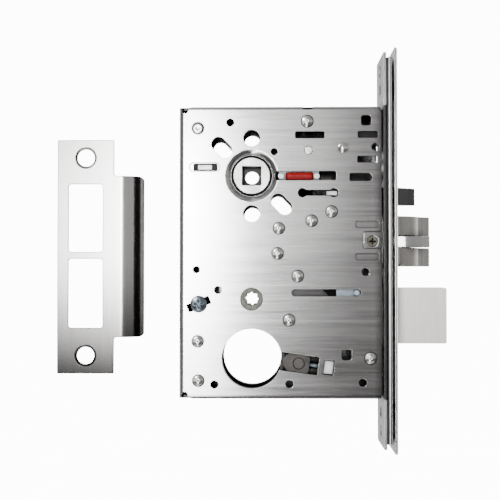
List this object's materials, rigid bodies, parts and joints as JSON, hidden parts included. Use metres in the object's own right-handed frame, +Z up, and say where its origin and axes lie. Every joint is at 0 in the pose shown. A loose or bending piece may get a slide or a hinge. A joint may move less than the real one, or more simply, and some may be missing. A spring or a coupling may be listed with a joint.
{
  "type": "mortise lock",
  "caption": "Mortise lock in a flat steel case with a tall narrow front, bevelled latchbolt, guard latch, deadbolt, lever and turn hubs, cylinder hole and a separate curved-lip strike.",
  "frame": {"origin": "centre of the armour front's outer face", "axes": "+X out of the door edge, the way the bolts are thrown; +Y through the door's thickness from the pan side to the cover side; +Z up"},
  "size_m": [0.202, 0.0357, 0.2032],
  "materials": {
    "case_steel": "fine horizontal brushed stainless",
    "front_steel": "brushed stainless with rolled edges",
    "bolt_steel": "satin stainless",
    "tongue_steel": "polished stainless",
    "guard_steel": "dark satin stainless",
    "strike_steel": "brushed stainless",
    "inner_steel": "plain bright steel",
    "dark_steel": "dark sintered steel",
    "hub_steel": "matte zinc-plated steel",
    "rivet_steel": "bright spun rivet heads",
    "screw_zinc": "bluish zinc plate",
    "spring_steel": "drawn spring wire",
    "clamp_steel": "matte plated steel",
    "washer_brass": "plain brass",
    "red_plastic": "glossy red"
  },
  "bodies": {
    "case": {"case_pan": "case_steel", "case_cover": "case_steel", "inner_front": "front_steel", "front_channel": "front_steel", "armour_front": "front_steel", "armour_screws": "screw_zinc", "front_brackets": "inner_steel", "bracket_screws": "screw_zinc", "side_lugs": "case_steel", "lug_blocks": "inner_steel", "lug_screws": "screw_zinc", "case_posts": "rivet_steel", "guide_rivets": "rivet_steel", "latch_guide": "inner_steel", "hub_bushings": "dark_steel", "hub_spacer": "washer_brass", "hub_stop": "inner_steel", "near_hub_spring": "spring_steel", "far_hub_spring": "spring_steel", "retractor_pivot": "rivet_steel", "latch_spring": "spring_steel", "guard_spring": "spring_steel", "guard_bracket": "inner_steel", "deadlock_pivot": "rivet_steel", "detent_spring": "spring_steel", "cylinder_collars": "dark_steel", "clamp_block": "inner_steel", "handing_screw": "screw_zinc"},
    "near_lever_hub": {"near_hub": "hub_steel"},
    "far_lever_hub": {"far_hub": "hub_steel"},
    "retractor": {"retractor_lever": "inner_steel"},
    "latch": {"latchbolt": "bolt_steel", "latch_tail": "inner_steel", "tongue_pin": "rivet_steel"},
    "tongue": {"latch_tongue": "tongue_steel"},
    "guard": {"guard_latch": "guard_steel", "guard_tail": "inner_steel"},
    "deadlock": {"deadlock_lever": "inner_steel"},
    "deadbolt": {"deadbolt": "bolt_steel", "deadbolt_tail": "inner_steel", "deadbolt_pins": "inner_steel", "deadbolt_shoe": "screw_zinc"},
    "turn": {"turn_hub": "hub_steel", "turn_arm": "inner_steel"},
    "clamp": {"cylinder_clamp": "clamp_steel", "clamp_rivet": "rivet_steel"},
    "clamp_drive": {"clamp_screw": "screw_zinc"},
    "locking": {"locking_slide": "inner_steel", "red_indicator": "red_plastic"},
    "strike": {"strike_plate": "strike_steel"}
  },
  "joints": [
    {"name": "latch_slide", "type": "slide", "parent": "case", "child": "latch", "axis": [1, 0, 0], "range_m": [-0.01905, 0], "stiffness_N_per_m": 150, "springref_m": 0.02, "deforming": ["latch_spring"]},
    {"name": "near_hub_turn", "type": "hinge", "parent": "case", "child": "near_lever_hub", "pos_m": [-0.073, 0, 0.0376], "axis": [0, -1, 0], "range_deg": [0, 62], "deforming": ["near_hub_spring"]},
    {"name": "far_hub_turn", "type": "hinge", "parent": "case", "child": "far_lever_hub", "pos_m": [-0.073, 0, 0.0376], "axis": [0, -1, 0], "range_deg": [0, 62], "deforming": ["far_hub_spring"]},
    {"name": "retractor_turn", "type": "hinge", "parent": "case", "child": "retractor", "pos_m": [-0.027, 0, 0.0516], "axis": [0, 1, 0], "range_deg": [0, 23.06]},
    {"name": "tongue_turn", "type": "hinge", "parent": "latch", "child": "tongue", "pos_m": [-0.0055, 0.003, 0.0045], "axis": [0, 0, 1], "range_deg": [0, 12]},
    {"name": "guard_slide", "type": "slide", "parent": "case", "child": "guard", "axis": [1, 0, 0], "range_m": [-0.01, 0], "stiffness_N_per_m": 100, "springref_m": 0.012, "deforming": ["guard_spring"]},
    {"name": "deadlock_turn", "type": "hinge", "parent": "case", "child": "deadlock", "pos_m": [-0.0443, 0, 0.0504], "axis": [0, 1, 0], "range_deg": [0, 29.01]},
    {"name": "deadbolt_slide", "type": "slide", "parent": "case", "child": "deadbolt", "axis": [1, 0, 0], "range_m": [-0.0254, 0]},
    {"name": "turn_hub_turn", "type": "hinge", "parent": "case", "child": "turn", "pos_m": [-0.073, 0, -0.0245], "axis": [0, -1, 0], "range_deg": [0, 90.2]},
    {"name": "clamp_slide", "type": "slide", "parent": "case", "child": "clamp", "axis": [-0.9905, 0, 0.1374], "range_m": [0, 0.002]},
    {"name": "clamp_screw_turn", "type": "hinge", "parent": "clamp", "child": "clamp_drive", "pos_m": [-0.0343, -0.0086, -0.0588], "axis": [-0.9905, 0, 0.1374], "range_deg": [0, 1058.6]},
    {"name": "locking_slide", "type": "slide", "parent": "case", "child": "locking", "axis": [1, 0, 0], "range_m": [0, 0.007]},
    {"name": "strike_away", "type": "slide", "parent": "case", "child": "strike", "axis": [-1, 0, 0], "range_m": [0, 0.02]}
  ],
  "couplings": [
    {"joint": "near_hub_turn", "follows": "latch_slide", "rad_per_m": -56.345},
    {"joint": "far_hub_turn", "follows": "latch_slide", "rad_per_m": -56.345},
    {"joint": "retractor_turn", "follows": "latch_slide", "rad_per_m": -20.854},
    {"joint": "deadlock_turn", "follows": "guard_slide", "rad_per_m": -49.232},
    {"joint": "turn_hub_turn", "follows": "deadbolt_slide", "rad_per_m": -61.842},
    {"joint": "clamp_screw_turn", "follows": "clamp_slide", "rad_per_m": 8976}
  ]
}
